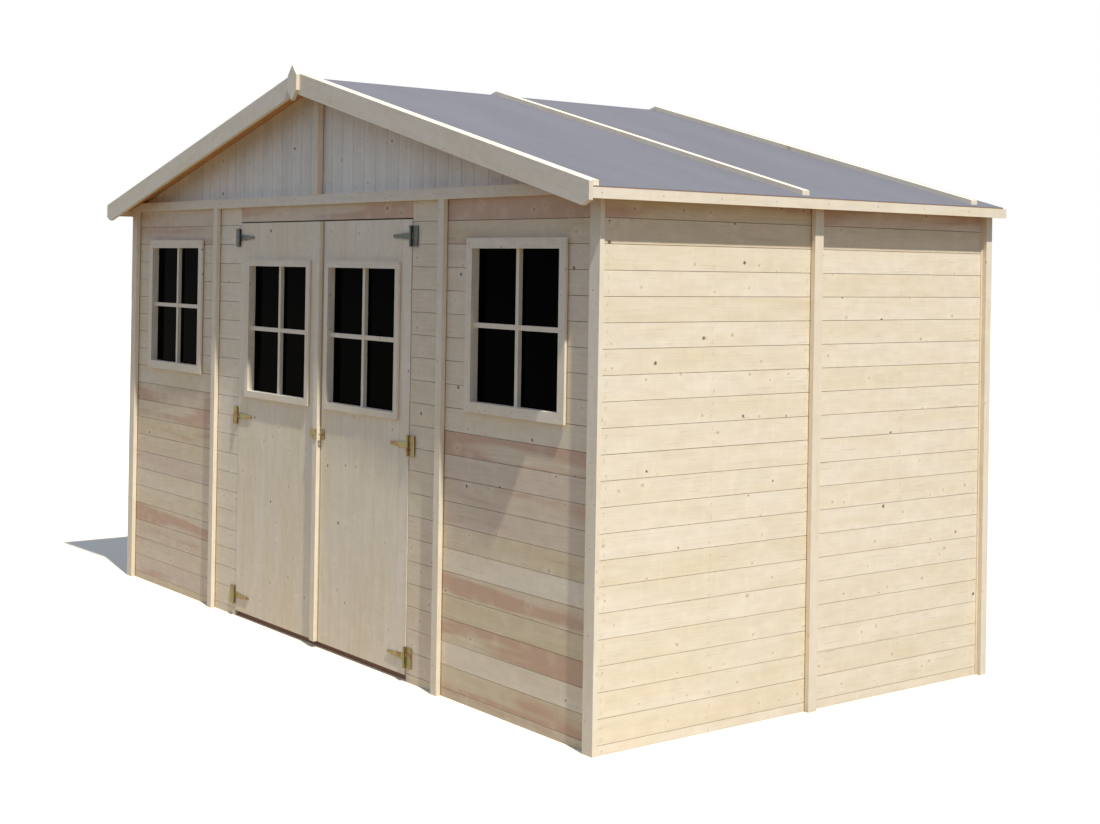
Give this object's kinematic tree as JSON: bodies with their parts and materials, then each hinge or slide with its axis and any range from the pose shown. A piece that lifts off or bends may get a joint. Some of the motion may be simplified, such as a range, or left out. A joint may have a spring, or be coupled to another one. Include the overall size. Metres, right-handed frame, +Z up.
{
  "type": "wooden garden shed",
  "caption": "Gable-fronted shed of tongue-and-groove boards with a felt roof, half-glazed double doors and a window each side of them.",
  "frame": {"origin": "on the ground under the middle floor bearer, at the middle of the walls' outline", "axes": "+Z up, +X to the right along the gable front seen from outside, the doors face -Y"},
  "size_m": [4.152, 2.288, 2.5679],
  "materials": {
    "spruce_boards": "planed tongue-and-groove spruce, untreated",
    "spruce_trim": "planed spruce, untreated",
    "sawn_spruce": "sawn spruce, untreated",
    "roofing_felt": "mineral-surfaced bitumen felt",
    "dark_glazing": "glossy, near black",
    "zinc_plated_steel": "yellow zinc plating"
  },
  "bodies": {
    "shed": {"floor_bearers": "sawn_spruce", "floor_boards": "sawn_spruce", "threshold": "spruce_trim", "front_left_panel": "spruce_boards", "front_right_panel": "spruce_boards", "door_strip_left": "spruce_boards", "door_strip_right": "spruce_boards", "door_lintel": "spruce_boards", "right_wall_front": "spruce_boards", "right_wall_rear": "spruce_boards", "left_wall_front": "spruce_boards", "left_wall_rear": "spruce_boards", "rear_panel_left": "spruce_boards", "rear_panel_middle": "spruce_boards", "rear_panel_right": "spruce_boards", "front_gable_left": "spruce_boards", "front_gable_right": "spruce_boards", "rear_gable_left": "spruce_boards", "rear_gable_right": "spruce_boards", "roof_purlins": "sawn_spruce", "roof_boards_left": "sawn_spruce", "roof_boards_right": "sawn_spruce", "felt_battens": "spruce_trim", "eave_fascias": "spruce_trim", "front_bargeboard_left": "spruce_trim", "front_bargeboard_right": "spruce_trim", "finial": "spruce_trim", "gable_trims": "spruce_trim", "corner_battens": "spruce_trim", "joint_battens": "spruce_trim", "window_frames": "spruce_trim", "roof_felt": "roofing_felt", "window_panes": "dark_glazing", "hinge_plates": "zinc_plated_steel"},
    "left_door": {"left_door_leaf": "spruce_boards", "left_door_window": "spruce_trim", "left_door_pane": "dark_glazing", "meeting_strip": "spruce_trim", "hasp": "zinc_plated_steel", "left_hinge_straps": "zinc_plated_steel"},
    "right_door": {"right_door_leaf": "spruce_boards", "right_door_window": "spruce_trim", "right_door_pane": "dark_glazing", "hasp_staple": "zinc_plated_steel", "right_hinge_straps": "zinc_plated_steel"}
  },
  "joints": [
    {"name": "left_door_hinge", "type": "hinge", "parent": "shed", "child": "left_door", "pos_m": [-0.762, -1.063, 0.962], "axis": [0, 0, -1], "range_deg": [0, 165]},
    {"name": "right_door_hinge", "type": "hinge", "parent": "shed", "child": "right_door", "pos_m": [0.762, -1.063, 0.962], "axis": [0, 0, 1], "range_deg": [0, 165]}
  ]
}
